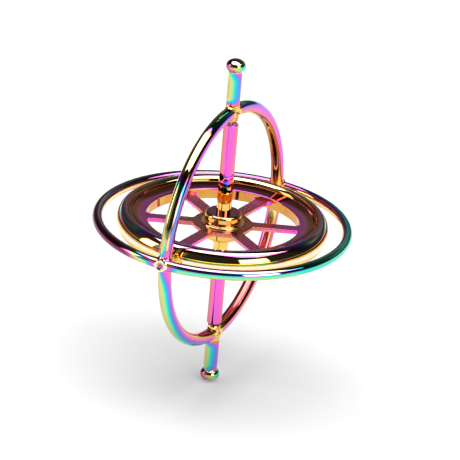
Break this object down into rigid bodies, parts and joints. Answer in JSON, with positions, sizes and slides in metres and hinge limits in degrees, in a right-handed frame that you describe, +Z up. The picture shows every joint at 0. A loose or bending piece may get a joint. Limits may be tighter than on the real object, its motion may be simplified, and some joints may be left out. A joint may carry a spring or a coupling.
{
  "type": "gyroscope",
  "caption": "Spinning gyroscope: a spoked flywheel on an axle with a string hole, held between pivots in two crossed rings, with posts, a ball top and a slotted ball foot.",
  "frame": {"origin": "tip of the ball foot, on the spin axis", "axes": "+Z up along the spin axis; the vertical ring lies in the YZ plane; -Y is the front, where one ring rivet is"},
  "size_m": [0.065, 0.0656, 0.087],
  "materials": {
    "rainbow_ring": "mirror polished, rainbow coated",
    "rainbow_post": "mirror polished, rainbow coated",
    "rainbow_axle": "mirror polished, rainbow coated",
    "rainbow_flywheel": "mirror polished, rainbow coated",
    "bare_pivot": "ground"
  },
  "bodies": {
    "frame": {"horizontal_ring": "rainbow_ring", "vertical_ring": "rainbow_ring", "upper_post": "rainbow_post", "lower_post": "rainbow_post", "top_ball": "rainbow_post", "foot_ball": "rainbow_post", "upper_pivot_cup": "rainbow_post", "lower_pivot_cup": "rainbow_post", "front_ring_rivet": "rainbow_ring", "back_ring_rivet": "rainbow_ring"},
    "rotor": {"axle": "rainbow_axle", "upper_pivot_pin": "bare_pivot", "lower_pivot_pin": "bare_pivot", "flywheel_rim": "rainbow_flywheel", "flywheel_web": "rainbow_flywheel", "upper_hub_collar": "rainbow_flywheel", "lower_hub_collar": "rainbow_flywheel"}
  },
  "joints": [
    {"name": "rotor_spin", "type": "hinge", "parent": "frame", "child": "rotor", "pos_m": [0, 0, 0.04317], "axis": [0, 0, 1], "continuous": true}
  ]
}
